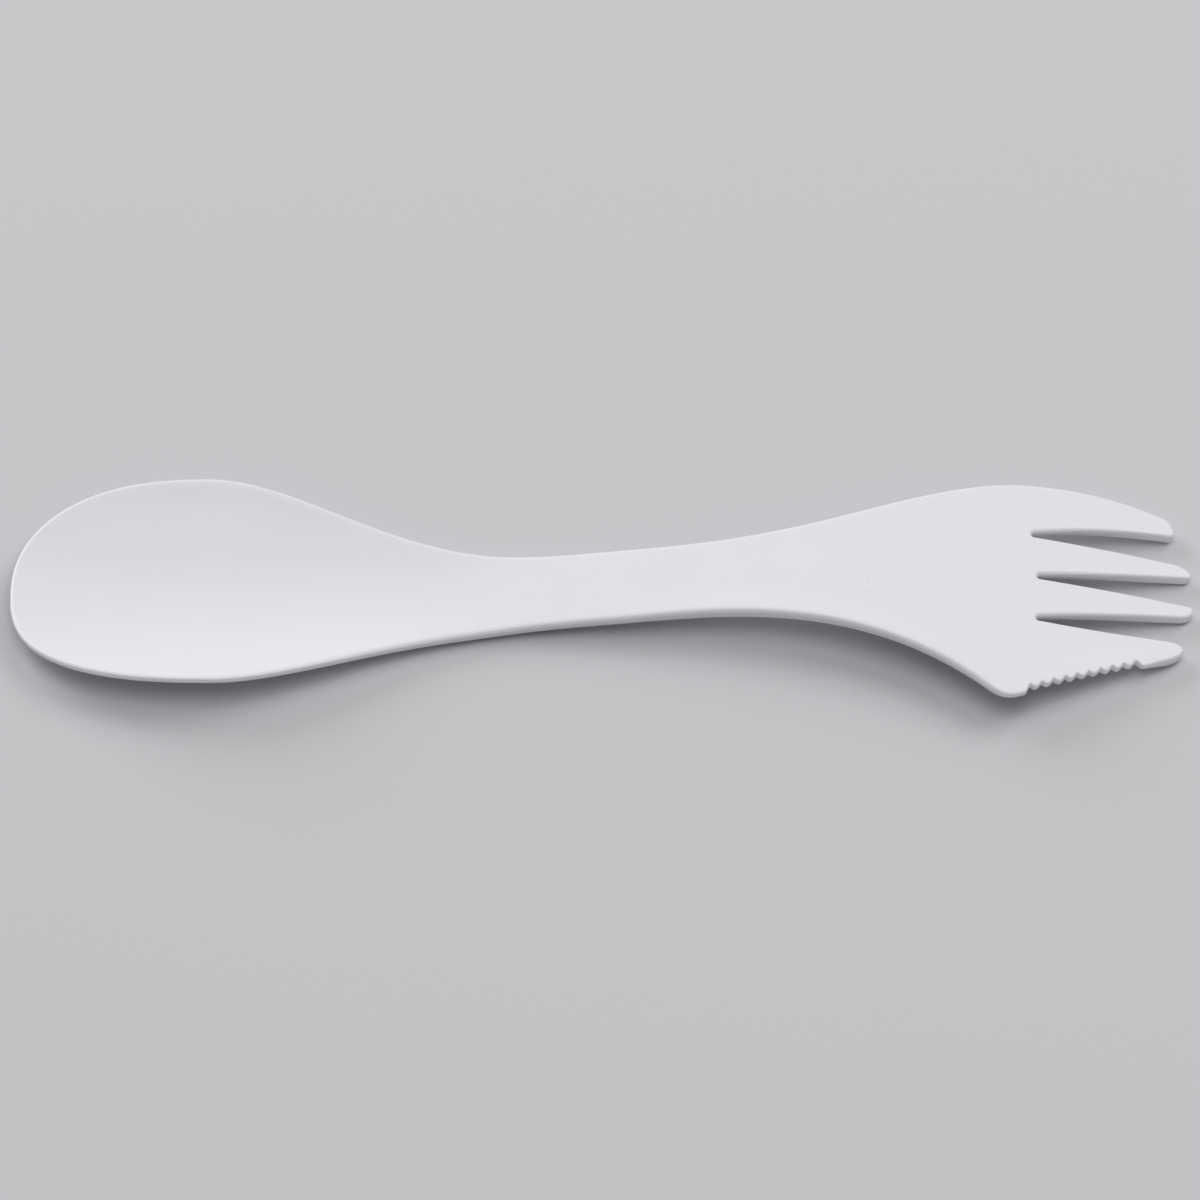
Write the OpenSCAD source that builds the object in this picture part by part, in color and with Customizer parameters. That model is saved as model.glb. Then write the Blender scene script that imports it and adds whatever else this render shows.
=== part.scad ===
// Spork moulded in one piece: a spoon bowl at one end, a waisted handle, and at the
// other end a four-tined fork whose outer tine carries a serrated knife edge.
// X runs from the spoon tip to the tines, Z is up, and the knife edge faces -Y.
// Seen from the side it is a long S: the bowl is hollow upward, the fork arches over.

/* [Bowl] */
// Width of the spoon bowl at its widest place
bowl_w = 38.0; // [32:0.2:42]
// Length from the spoon tip to the widest place
bowl_front_l = 28.6; // [24:0.2:32]
// Length from the widest place to where the handle is narrowest
neck_l = 56.0; // [50:0.2:64]
// Height of the rim beside the bowl, above the table
rim_h = 6.8; // [5.5:0.1:9]
// Height of the rim at the spoon tip, above the table
spoon_tip_h = 3.6; // [2.5:0.1:5]

/* [Handle] */
// Width of the handle at its narrowest place
handle_w = 12.9; // [11:0.2:16]
// Length from the narrowest place to where the palm begins to widen
grip_l = 4.0; // [1:0.5:12]
// Height of the handle where it dips lowest, above the table
dip_h = 2.8; // [2.3:0.1:4]
// Height of the handle at its crest, above the table
crest_h = 7.5; // [5.5:0.1:9]
// Height of the raised lip along the knife side of the handle
lip_h = 0.3; // [0.1:0.05:0.7]
// Width of the raised lip
lip_w = 4.6; // [3:0.2:6]

/* [Fork] */
// Length of the palm, from where the handle begins to widen to the slot roots
palm_l = 58.7; // [52:0.5:68]
// Length of the middle tines, from the slot roots to their tips
tine_l = 22.9; // [18:0.5:27]
// How much shorter the two outer tines are
outer_tine_short = 2.0; // [0.5:0.1:4]
// Distance from the middle line to the plain outer edge of the palm
palm_reach = 17.3; // [15:0.2:20]
// How far the plain outer edge draws in toward its tine tip
outer_draw = 4.5; // [3:0.1:5.5]
// Distance between neighbouring slots at their roots
slot_pitch = 7.9; // [7:0.1:8.8]
// Distance between neighbouring slots at their mouths
mouth_pitch = 7.5; // [7:0.1:8]
// Width of a slot at its rounded root
slot_root_w = 0.9; // [0.7:0.1:1.4]
// Width of the two slots away from the knife at their open mouths
slot_mouth_w = 5.5; // [4.5:0.1:5.6]
// Width of the slot beside the knife tine at its open mouth
knife_slot_mouth_w = 5.0; // [4:0.1:5.4]
// How far the middle slot stops nearer the tips than the outer two
slot_step = 0.5; // [0:0.1:1.2]
// Length of the rounded end on the three plain tines
tine_round_l = 1.3; // [0.9:0.1:2]
// Angle at which the tine tips meet the table
tine_dip = 11; // [6:1:16]

/* [Knife edge] */
// Distance from the middle line to the heel of the knife edge
heel_reach = 22.9; // [20:0.1:25]
// Distance from the slot roots back to the heel
heel_back = 4.8; // [3.5:0.1:6]
// Radius that the heel's corner is blended with
heel_round = 2.9; // [1:0.1:4]
// Angle of the knife edge to the length of the spork
knife_angle = 21.9; // [19:0.1:22]
// Length of one tooth along the spork
tooth_pitch = 1.71; // [1.5:0.01:1.8]
// Depth of the notches between the teeth
tooth_depth = 0.65; // [0.4:0.05:1]
// Number of rounded teeth
tooth_count = 9; // [6:1:9]
// How far the teeth stand back from the uncut edge
tooth_set = 0.55; // [0.1:0.05:0.6]
// Length over which the last notch runs out to the uncut edge
tooth_runout = 1.2; // [0.8:0.1:1.8]
// Thickness of the plastic at the knife edge
knife_edge_t = 1.0; // [0.8:0.1:1.4]
// Width of the bevel that thins the palm toward the knife edge
bevel_w = 3.6; // [2.5:0.1:4.5]
// Length of the rounded end on the knife tine
knife_round_l = 2.2; // [1.5:0.1:3]

/* [Walls and edges] */
// Wall of the bowl
bowl_wall = 1.1; // [0.9:0.1:1.8]
// Wall of the handle
handle_wall = 2.0; // [1.6:0.1:2.6]
// Wall of the tines
tine_wall = 1.7; // [1.4:0.1:2.2]
// Radius of the upper edge
top_edge_r = 0.6; // [0.3:0.05:0.8]
// Radius of the lower edge
under_edge_r = 0.8; // [0.4:0.05:0.9]
// Radius of both edges along the knife
knife_edge_r = 0.3; // [0.15:0.05:0.45]
// Radius of both edges round the tips of the tines
tip_edge_r = 0.4; // [0.2:0.05:0.5]

/* [Hidden] */

// Places along the length
handle_x = bowl_front_l + neck_l;
flare_x = handle_x + grip_l;
root_x = flare_x + palm_l;
heel_x = root_x - heel_back;
end_x = root_x + tine_l;

// How far the mouths of the two slots away from the knife lean toward it
mouth_lean = 0.25;
mouth_y = [mouth_pitch - mouth_lean, -mouth_lean, -mouth_pitch];
mouth_w = [slot_mouth_w, slot_mouth_w, knife_slot_mouth_w];
// How much shorter the knife tine is, as a share of that of the plain outer tine
knife_short_share = 0.92;
// Lengths of the corners at the tine tips, on the +Y and on the -Y side, as shares of the
// rounded ends, and how far the tips lean toward +Y, as shares of half the tine's width
far_corner_shares = [1, 2.1, 0.5, 1];
near_corner_shares = [0.6, 0.5, 1.4, 1.1];
tip_lean_shares = [-0.4, -0.45, 0.45, 0];
// Where the corner before the first notch lies, as a share of the way from heel to slot roots
corner_share = 0.55;
corner_x = heel_x + heel_back * corner_share;
// How far the first notch lies beyond that corner, as a share of a tooth
notch_share = 0.47;
first_notch_x = corner_x + tooth_pitch * notch_share;
// Only as many teeth are cut as fit before the knife tine rounds off
tooth_n = min(tooth_count,
              floor((end_start(3, -1) - tooth_runout - first_notch_x) / tooth_pitch));
last_notch_x = first_notch_x + tooth_n * tooth_pitch;

// Heights of the middle of the wall on the guide lines
rim_z = rim_h - bowl_wall / 2;
floor_z = bowl_wall / 2;
spoon_tip_z = spoon_tip_h - bowl_wall / 2;
dip_z = dip_h - handle_wall / 2;
crest_z = crest_h - handle_wall / 2;
tine_tip_z = tine_wall / 2;
// Where the rim is highest and where the handle dips lowest, as shares
rim_peak_share = 0.92;
dip_share = 0.715;
// Where the handle crests, as a share of the palm
crest_share = 0.63;
rim_peak_x = bowl_front_l * rim_peak_share;
dip_x = bowl_front_l + neck_l * dip_share;
crest_x = flare_x + palm_l * crest_share;

// Exponent of the bowl's front in plan, 2 for an ellipse
egg_power = 2.4;
// Exponent of how late the neck and the palm widen
swell_power = 1.43;
// Exponent of the sweep out to the heel
heel_power = 2.93;
// How round the roots of the notches are, 0 for sharp ones
notch_round_share = 0.2;
// Exponent of the draw of the plain outer tine
draw_power = 2.2;
// Exponents of the rim up and of the floor down from the spoon tip
tip_rise_power = 2.75;
floor_power = 2.2;
// Exponent of the bowl's cross-section
dish_power = 2.2;
// Exponent of the climb from the dip to the crest
climb_power = 0.81;
// How far the sweep aims beyond the heel, as a share of the heel's radius
overshoot_share = 0.23;
// Lengths in which the lip sets in and fades out, as shares of the palm and of its own width
lip_start_share = 0.25;
lip_fade_share = 2;
// How much the walls of the three slots bow, on the +Y and on the -Y side: only the
// outer tines are hollowed, and the middle tines have straight flanks
far_bow_shares = [1.25, 0.1, 0.25];
near_bow_shares = [-0.2, -0.1, 0.75];

// Radii limited to these shares of the wall, and of the shortest corner, that they round
top_limit_share = 0.4;
under_limit_share = 0.5;
corner_limit_share = 0.6;
knife_r = min(knife_edge_r, top_limit_share * knife_edge_t);
shortest_corner_l = tine_round_l * min(concat(far_corner_shares, near_corner_shares));
tip_r = min(tip_edge_r, top_limit_share * tine_wall, corner_limit_share * shortest_corner_l);

// Step of the slopes that are measured on the curves
probe = 0.1;

// Rows of the mesh: spoon tip, neck and handle, palm, slot root, tine flank, tine end,
// one tooth, the ramp at either end of the teeth, the plain edge beyond them
front_rows = 15;
middle_rows = 31;
palm_rows = 8;
root_rows = 4;
flank_rows = 9;
end_rows = 5;
tooth_rows = 6;
ramp_rows = 3;
runout_rows = 3;
// Points of one edge from below to above, in angles of the lower and the upper arc
edge_angles = [-90, -45, 0];
edge_n = 2 * len(edge_angles);
// Points across each tine between its edges
across = [3, 2, 2, 4];

// Curves that the shapes are drawn with

function clamp(v) = max(0, min(1, v));
function ease(u) = let (c = clamp(u)) c * c * (3 - 2 * c);
function swell(u) = ease(pow(clamp(u), swell_power));
function mix(a, b, t) = a + (b - a) * t;
// Smaller of two values with the corner blended over width k
function soft_min(a, b, k) =
    let (h = clamp(0.5 + (b - a) / (2 * k))) mix(b, a, h) - k * h * (1 - h);
function unit(v) = v / norm(v);

// Outline, seen from above

function front_half(x) =
    let (u = clamp(1 - x / bowl_front_l))
    bowl_w / 2 * pow(1 - pow(u, egg_power), 1 / egg_power);

// Half the width of bowl, neck and handle
function body_half(x) =
    x < bowl_front_l ? front_half(x)
    : mix(handle_w, bowl_w, swell((handle_x - x) / neck_l)) / 2;

// Plain outer edge, from the spoon tip to the outer tine
function far_edge(x) =
    x < flare_x ? body_half(x)
    : x < root_x ? mix(handle_w / 2, palm_reach, swell((x - flare_x) / palm_l))
    : palm_reach - outer_draw * pow((x - root_x) / (tine_l - outer_tine_short), draw_power);

// Knife side before its teeth are cut: sweep out to the heel, then the straight edge
function knife_line(x) = heel_reach - (x - heel_x) * tan(knife_angle);
function near_edge(x) =
    x < flare_x ? -body_half(x)
    : let (sweep = handle_w / 2 + (heel_reach + heel_round * overshoot_share - handle_w / 2)
                 * pow((x - flare_x) / (heel_x - flare_x), heel_power))
      -soft_min(sweep, knife_line(x), heel_round);

// Share of a notch at x: 1 at its root, 0 at the crest of a tooth and beyond the teeth
function notch(x) =
    x < first_notch_x ? ease((x - corner_x) / (first_notch_x - corner_x))
    : x > last_notch_x ? ease(1 - (x - last_notch_x) / tooth_runout)
    : let (wave = sin(180 * (x - first_notch_x) / tooth_pitch), r = notch_round_share)
      1 - (norm([wave, r]) - r) / (norm([1, r]) - r);
// Depth cut into the knife edge: rounded teeth with a notch at each end
function tooth_cut(x) =
    tooth_depth * notch(x)
    + tooth_set * (x < first_notch_x || x > last_notch_x ? notch(x) : 1);
function knife_edge(x) = -knife_line(x) + tooth_cut(x);

// Slots
function slot_root(s) = root_x + (s == 1 ? slot_step : 0);
function slot_middle(s, x) =
    mix((1 - s) * slot_pitch, mouth_y[s], (x - root_x) / tine_l);
function slot_half(s, x, bow_share) =
    let (r = slot_root_w / 2,
         u = (x - slot_root(s) - r) / (end_x - slot_root(s) - r))
    mix(r, mouth_w[s] / 2, u + bow_share * u * (1 - u));

// Edges of tine k, counted from the plain side: 0 to 3
function tine_far(k, x) =
    k == 0 ? far_edge(x)
    : slot_middle(k - 1, x) - slot_half(k - 1, x, near_bow_shares[k - 1]);
function tine_near(k, x) =
    k == 3 ? knife_edge(x)
    : slot_middle(k, x) + slot_half(k, x, far_bow_shares[k]);
function tine_tip(k) =
    end_x - outer_tine_short * (k == 0 ? 1 : k == 3 ? knife_short_share : 0);
// Where the side of tine k begins to round off into its tip; side is 1 for +Y, -1 for -Y
function corner_l(k, side) =
    (k == 3 ? knife_round_l : tine_round_l) * (side > 0 ? far_corner_shares : near_corner_shares)[k];
function end_start(k, side) = tine_tip(k) - corner_l(k, side);

// Side view: middle of the wall along the rim and along the floor

function rim_line(x) =
    x < rim_peak_x ? rim_z - (rim_z - spoon_tip_z) * pow(1 - max(0, x) / rim_peak_x, tip_rise_power)
    : x < dip_x ? mix(dip_z, rim_z, ease((dip_x - x) / (dip_x - rim_peak_x)))
    : x < crest_x ? mix(dip_z, crest_z, ease(pow((x - dip_x) / (crest_x - dip_x), climb_power)))
    : let (run = end_x - crest_x, u = (x - crest_x) / run, drop = crest_z - tine_tip_z)
      tine_tip_z + drop * (1 - 3 * u * u + 2 * u * u * u)
      + run * tan(tine_dip) * u * u * (1 - u);

function hollow(x) =
    x < bowl_front_l
    ? rim_line(x) - floor_z
      - (spoon_tip_z - floor_z) * pow(1 - max(0, x) / bowl_front_l, floor_power)
    : (rim_line(bowl_front_l) - floor_z) * swell((handle_x - x) / neck_l);

// Middle of the wall anywhere in plan
function mid_z(x, y) =
    let (side = clamp(abs(y) / max(probe, body_half(x))))
    rim_line(x) - hollow(x) * (1 - pow(side, dish_power));

function mid_normal(x, y) =
    let (slope_x = (mid_z(x + probe, y) - mid_z(x - probe, y)) / (2 * probe),
         slope_y = (mid_z(x, y + probe) - mid_z(x, y - probe)) / (2 * probe))
    unit([-slope_x, -slope_y, 1]);

// Thickness of the wall

// Share of the knife's form: it sets in before the heel and is gone where the tine rounds off
function knife_share(x) =
    ease((x - heel_x + bevel_w) / bevel_w)
    * ease((end_start(3, -1) - x) / (end_start(3, -1) - last_notch_x - tooth_runout));
function knife_distance(x, y) = (y + knife_line(x)) * cos(knife_angle);
function bevel_share(x, y) = knife_share(x) * (1 - clamp(knife_distance(x, y) / bevel_w));
// Wall of bowl, handle and tines, before the bevel thins it
function plain_wall(x) =
    x < handle_x ? mix(bowl_wall, handle_wall, ease((x - bowl_front_l) / neck_l))
    : mix(handle_wall, tine_wall, ease((x - flare_x) / palm_l));
function half_wall(x, y) =
    let (t = plain_wall(x))
    mix(t, min(t, knife_edge_t), bevel_share(x, y)) / 2;
// Lip that runs along the knife side of the handle and fades out before the heel
function lip(x, y) =
    lip_h * ease((x - flare_x) / (palm_l * lip_start_share))
    * ease((heel_x - x) / (lip_w * lip_fade_share))
    * ease(1 - (y - near_edge(min(x, heel_x))) / lip_w);

// A point q above the middle of the wall
function skin(x, y, q) = [x, y, mid_z(x, y)] + q * mid_normal(x, y);
function top_point(p) = skin(p.x, p.y, half_wall(p.x, p.y) + lip(p.x, p.y));
function under_point(p) = skin(p.x, p.y, -half_wall(p.x, p.y));

// Rounded edges

// Radii above and below: smaller toward the tips of the tines and along the knife edge
function plain_radii(x) =
    [min(top_edge_r, top_limit_share * plain_wall(x)),
     min(under_edge_r, under_limit_share * plain_wall(x))];
function edge_radii(p, knife) =
    let (r = mix(plain_radii(p.x), [tip_r, tip_r],
                 ease((p.x - root_x) / (tine_l - outer_tine_short - knife_round_l))))
    knife ? mix(r, [knife_r, knife_r], knife_share(p.x)) : r;

// Column of points round the edge at outline point p, outward direction n, from below to above
function edge_column(p, n, knife = false) =
    let (r = edge_radii(p, knife))
    concat(
        [for (a = edge_angles)
            let (c = p - r[1] * (1 - cos(a)) * n)
            skin(c.x, c.y, -half_wall(c.x, c.y) + r[1] * (1 + sin(a)))],
        [for (i = [len(edge_angles) - 1:-1:0])
            let (a = -edge_angles[i], c = p - r[0] * (1 - cos(a)) * n)
            skin(c.x, c.y, half_wall(c.x, c.y) + lip(c.x, c.y) - r[0] * (1 - sin(a)))]);

// Ends of that column in plan
function top_seat(p, n, knife = false) = p - edge_radii(p, knife)[0] * n;
function under_seat(p, n, knife = false) = p - edge_radii(p, knife)[1] * n;

function reversed(list) = [for (i = [len(list) - 1:-1:0]) list[i]];

// One closed section between outline points f and g with outward directions nf and ng.
// shares places the points across, and top_bow and under_bow shift them in plan.
function section(f, nf, g, ng, shares, top_bow, under_bow, knife) =
    concat(
        edge_column(f, nf),
        [for (i = [0:len(shares) - 1])
            top_point(mix(top_seat(f, nf), top_seat(g, ng, knife), shares[i]) + top_bow[i])],
        reversed(edge_column(g, ng, knife)),
        [for (i = [len(shares) - 1:-1:0])
            under_point(mix(under_seat(f, nf), under_seat(g, ng, knife), shares[i])
                        + under_bow[i])]);

function even(n) = [for (i = [1:n]) i / (n + 1)];
function none(n) = [for (i = [1:n]) [0, 0]];

// Body, from the spoon tip to the slot roots

function far_slope(x) = (far_edge(x + probe) - far_edge(x - probe)) / (2 * probe);
function near_slope(x) = (near_edge(x + probe) - near_edge(x - probe)) / (2 * probe);

// The palm's last rows lean, so that they end at the corner before the teeth
lean_x = heel_x - heel_back;
function near_x(x) = x - (root_x - corner_x) * ease((x - lean_x) / (root_x - lean_x));

body_x = concat(
    [for (i = [1:front_rows]) bowl_front_l * (1 - cos(90 * i / front_rows))],
    [for (i = [1:middle_rows]) mix(bowl_front_l, lean_x, i / middle_rows)],
    [for (i = [1:palm_rows]) mix(lean_x, root_x, i / palm_rows)]);

function body_far(x) = [x, far_edge(x)];
function body_near(x) = [near_x(x), near_edge(near_x(x))];
function far_normal(x) = unit([-far_slope(x), 1]);
function near_normal(x) = unit([near_slope(near_x(x)), -1]);

// Values given at the slot roots, spread over all points across: those of each tine,
// with the slot roots between them
function across_all(marks) = [for (k = [0:3]) for (i = [1:across[k] + (k < 3 ? 1 : 0)])
    mix(marks[k], marks[k + 1], i / (across[k] + 1))];

// The last row ends the slots, so its points bend to the slot roots
last_far = top_seat(body_far(root_x), far_normal(root_x));
last_near = top_seat(body_near(root_x), near_normal(root_x), true);
under_far = under_seat(body_far(root_x), far_normal(root_x));
under_near = under_seat(body_near(root_x), near_normal(root_x), true);
root_shares = [for (s = [0:2])
    (last_far.y - slot_middle(s, root_x)) / (last_far.y - last_near.y)];
body_shares = across_all(concat([0], root_shares, [1]));
function root_bow(f, g, r) = across_all(concat([[0, 0]], [for (s = [0:2])
    [slot_root(s) - r, slot_middle(s, root_x)] - mix(f, g, root_shares[s])], [[0, 0]]));
body_top_bow = root_bow(last_far, last_near, plain_radii(root_x)[0]);
body_under_bow = root_bow(under_far, under_near, plain_radii(root_x)[1]);

function body_section(x) =
    let (fade = ease((x - lean_x) / (root_x - lean_x)))
    section(body_far(x), far_normal(x), body_near(x), near_normal(x), body_shares,
            fade * body_top_bow, fade * body_under_bow, true);

spoon_tip = edge_column([0, 0], [-1, 0]);
body_n = 2 * edge_n + 2 * len(body_shares);
body_points = concat(spoon_tip, [for (x = body_x) each body_section(x)]);

// Tines, from the slot roots to the tips

// Outward direction on a flank, from the curve's own slope; side is 1 or -1
function flank_normal(y0, y1, side) = unit([-(y1 - y0) / (2 * probe), 1] * side);

// Outline points with directions, [point, direction], down one side of tine k
function root_arc(s, side) =
    let (r = slot_root_w / 2, x = slot_root(s) + r)
    [for (i = [1:root_rows]) let (a = 90 * i / root_rows)
        [[x - r * cos(a), slot_middle(s, x) - side * r * sin(a)], [cos(a), side * sin(a)]]];
function flank(k, side, xs) =
    [for (x = xs) side > 0
        ? [[x, tine_far(k, x)],
           flank_normal(tine_far(k, x - probe), tine_far(k, x + probe), 1)]
        : [[x, tine_near(k, x)],
           flank_normal(tine_near(k, x - probe), tine_near(k, x + probe), -1)]];
// The knife keeps one outward direction along all its teeth
function knife_flank(xs) =
    [for (x = xs) [[x, knife_edge(x)], [sin(knife_angle), -cos(knife_angle)]]];

// Rounded corner that leaves a side of tine k along its slope and ends square to X at the tip
function end_arc(k, side) =
    let (l = corner_l(k, side), x = end_start(k, side), tip = tine_tip(k),
         far = tine_far(k, tip), near = tine_near(k, tip),
         y = mix(near, far, (1 + tip_lean_shares[k]) / 2),
         w = (side > 0 ? far : near) - y,
         draw = (side > 0 ? tine_far(k, x) - far : tine_near(k, x) - near))
    [for (i = [1:end_rows]) let (a = 90 * (1 - i / end_rows))
        [[x + l * cos(a), y + draw * (1 - cos(a)) + w * sin(a)],
         side * unit([draw * sin(a) + w * cos(a), l * sin(a)])]];

function spread(a, b, n) = [for (i = [1:n]) mix(a, b, i / n)];

knife_xs = concat(
    spread(corner_x, first_notch_x, ramp_rows),
    spread(first_notch_x, last_notch_x, tooth_n * tooth_rows),
    spread(last_notch_x, last_notch_x + tooth_runout, ramp_rows),
    spread(last_notch_x + tooth_runout, end_start(3, -1), runout_rows));

// Rows of the same tine's other flank, level with those of the teeth
beside_knife_xs = let (a = knife_xs[root_rows - 1], root = slot_root(2) + slot_root_w / 2)
    [for (i = [root_rows:len(knife_xs) - 1])
        mix(root, end_start(3, 1), (knife_xs[i] - a) / (end_start(3, -1) - a))];
function far_side(k) = concat(
    k == 0 ? flank(0, 1, spread(root_x, end_start(0, 1), root_rows + flank_rows))
    : concat(root_arc(k - 1, 1),
             flank(k, 1, k == 3 ? beside_knife_xs
                         : spread(slot_root(k - 1) + slot_root_w / 2, end_start(k, 1), flank_rows))),
    end_arc(k, 1));
function near_side(k) = concat(
    k == 3 ? knife_flank(knife_xs)
    : concat(root_arc(k, -1),
             flank(k, -1, spread(slot_root(k) + slot_root_w / 2, end_start(k, -1), flank_rows))),
    end_arc(k, -1));

function tine_points(k) =
    let (f = far_side(k), g = near_side(k), last = len(f) - 1,
         shares = even(across[k]), flat = none(across[k]))
    concat([for (i = [0:last - 1])
                each section(f[i][0], f[i][1], g[i][0], g[i][1], shares, flat, flat, k == 3)],
           edge_column(f[last][0], f[last][1]));

// Numbering of the points and the triangles between them

// Edge columns at the slot roots; their two ends belong to the body's last section
function root_column(s) = edge_column([slot_root(s), slot_middle(s, root_x)], [1, 0]);
root_points = [for (s = [0:2]) let (c = root_column(s)) each [for (i = [1:edge_n - 2]) c[i]]];

all_points = concat(body_points, root_points, tine_points(0), tine_points(1), tine_points(2),
                    tine_points(3));

function run(a, n) = [for (i = [0:n - 1]) a + i];
// Numbers of a section whose two sides meet in one column that starts at a
function closed_end(a, n) = concat(
    run(a, edge_n), [for (i = [1:n]) a + edge_n - 1],
    reversed(run(a, edge_n)), [for (i = [1:n]) a]);

body_last = edge_n + (len(body_x) - 1) * body_n;
body_ids = concat(
    [closed_end(0, len(body_shares))],
    [for (i = [0:len(body_x) - 1]) run(edge_n + i * body_n, body_n)]);

// Place of slot root s, or of the edge beyond the outer tines, among the points across
function mark_place(s) =
    s < 0 ? -1 : s == 0 ? across[0] : mark_place(s - 1) + across[s] + 1;
function top_id(i) = body_last + edge_n + i;
function under_id(i) = body_last + body_n - 1 - i;
root_start = len(body_points);
function column_ids(s) =
    s < 0 ? run(body_last, edge_n)
    : s > 2 ? reversed(run(body_last + edge_n + len(body_shares), edge_n))
    : concat([under_id(mark_place(s))], run(root_start + s * (edge_n - 2), edge_n - 2),
             [top_id(mark_place(s))]);

function tine_n(k) = 2 * edge_n + 2 * across[k];
function tine_size(k) = (len(far_side(k)) - 1) * tine_n(k) + edge_n;
function tine_start(k) =
    k == 0 ? root_start + 3 * (edge_n - 2) : tine_start(k - 1) + tine_size(k - 1);
function tine_ids(k) =
    let (n = len(far_side(k)) - 1, a = tine_start(k), first = mark_place(k - 1) + 1)
    concat(
        [concat(column_ids(k - 1), [for (i = [0:across[k] - 1]) top_id(first + i)],
                reversed(column_ids(k)), [for (i = [across[k] - 1:-1:0]) under_id(first + i)])],
        [for (i = [0:n - 1]) run(a + i * tine_n(k), tine_n(k))],
        [closed_end(a + n * tine_n(k), across[k])]);

// Triangles between two sections: each quad is split along its shorter diagonal, and
// where a closed end has collapsed it only one triangle is left
function gap(a, b) = norm(all_points[a] - all_points[b]);
function quad(a, b, c, d) =
    a == b || c == d || b == c || d == a
    ? [[for (p = [[a, d], [b, a], [c, b], [d, c]]) if (p[0] != p[1]) p[0]]]
    : gap(a, c) < gap(b, d) ? [[a, b, c], [a, c, d]]
    : [[a, b, d], [b, c, d]];
function band(a, b) = [for (i = [0:len(a) - 1]) let (j = (i + 1) % len(a))
    if (a[i] != a[j] || b[i] != b[j]) each quad(a[i], b[i], b[j], a[j])];
function bands(ids) = [for (i = [0:len(ids) - 2]) each band(ids[i], ids[i + 1])];

all_faces = concat(bands(body_ids), bands(tine_ids(0)), bands(tine_ids(1)), bands(tine_ids(2)),
                   bands(tine_ids(3)));

// Middle of the outline and lowest point, which become the origin
function middle(list) = (min(list) + max(list)) / 2;
base_point = [middle([for (p = all_points) p.x]), middle([for (p = all_points) p.y]),
              min([for (p = all_points) p.z])];

module spork() {
    color("gainsboro")
        translate(-base_point)
            polyhedron(points = all_points, faces = all_faces, convexity = 8);
}

spork();
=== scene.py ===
# %% [markdown]
# # A moulded plastic spork
#
# The real spork is one shot of white plastic: a spoon bowl, a waisted handle and a
# four-tined fork whose outer tine carries a serrated knife edge. It has no joint and
# no second part, so this lesson spends its effort on the one skin. The way is the
# way of a press. First a flat blank is cut to the outline, tine by tine. Then a
# Geometry Nodes tree cuts the teeth and presses the blank into its long S, with its
# wall, its rounded edges, its lip, its bevel and the mark of the moulding gate.
# Last come the satin finish, the floor, the light and the camera.

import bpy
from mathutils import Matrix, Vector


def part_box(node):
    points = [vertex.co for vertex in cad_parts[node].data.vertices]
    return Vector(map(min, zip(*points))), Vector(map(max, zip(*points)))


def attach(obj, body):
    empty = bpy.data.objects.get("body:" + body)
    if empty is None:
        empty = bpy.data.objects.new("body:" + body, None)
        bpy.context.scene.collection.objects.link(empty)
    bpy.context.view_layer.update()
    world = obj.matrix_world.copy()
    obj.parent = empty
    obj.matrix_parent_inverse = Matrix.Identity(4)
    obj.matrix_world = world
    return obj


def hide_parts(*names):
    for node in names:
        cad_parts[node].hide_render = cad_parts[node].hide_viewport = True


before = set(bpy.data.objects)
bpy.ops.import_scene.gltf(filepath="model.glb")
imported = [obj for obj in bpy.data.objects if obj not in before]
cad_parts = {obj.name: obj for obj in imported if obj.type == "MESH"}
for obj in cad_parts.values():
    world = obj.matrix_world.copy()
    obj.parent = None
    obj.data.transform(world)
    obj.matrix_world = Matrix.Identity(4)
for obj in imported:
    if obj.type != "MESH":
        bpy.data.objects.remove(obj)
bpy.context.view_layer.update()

import math
from types import SimpleNamespace

import bmesh
import bpy
from mathutils import Matrix, Vector

low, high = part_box("spork")
print("the CAD spork measures", [round(1000 * side, 2) for side in high - low], "mm")

# %% [markdown]
# ## Sizes
#
# The sizes are in millimetres, because that is how a mould is drawn. Along is
# counted from the spoon tip, across from the middle line, and heights from the
# table. They are kept in one place with plain names, and the node tree further down
# shows the same names on its inputs, so each of them can be turned there by hand.

# %% The sizes of the spork
SIZES = dict(
    # the spoon bowl and the neck behind it
    bowl_width=38.0, bowl_front=28.6, neck_length=56.0, rim_height=6.8, spoon_tip_height=3.6,
    # the handle
    handle_width=12.9, grip_length=4.0, dip_height=2.8, crest_height=7.5,
    lip_height=0.3, lip_width=4.6,
    # the palm and its four tines
    palm_length=58.7, tine_length=22.9, outer_tine_short=2.0, palm_reach=17.3, outer_draw=4.5,
    tine_dip=math.radians(11),
    # the knife edge
    heel_reach=22.9, heel_back=4.8, heel_round=2.9, knife_angle=math.radians(21.9),
    tooth_pitch=1.71, tooth_depth=0.65, tooth_count=9.0, tooth_set=0.55, tooth_runout=1.2,
    knife_edge_wall=1.0, bevel_width=3.6, knife_round=2.2,
    # the walls
    bowl_wall=1.1, handle_wall=2.0, tine_wall=1.7,
    # the mark that the moulding gate leaves on the palm
    gate_along=123.3, gate_across=-3.0, gate_radius=0.45, gate_depth=0.12,
)
TOP_EDGE, UNDER_EDGE, KNIFE_EDGE, TIP_EDGE = 0.6, 0.8, 0.3, 0.39    # radii of the edges
SEAM_PROUD, SEAM_HEIGHT = 0.03, 0.15    # the line where the mould halves met
DRAFT, DRAFT_ROUND = 0.25, 0.45         # how far the edge leans in below it, and its radius
print(len(SIZES), "sizes")

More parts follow.
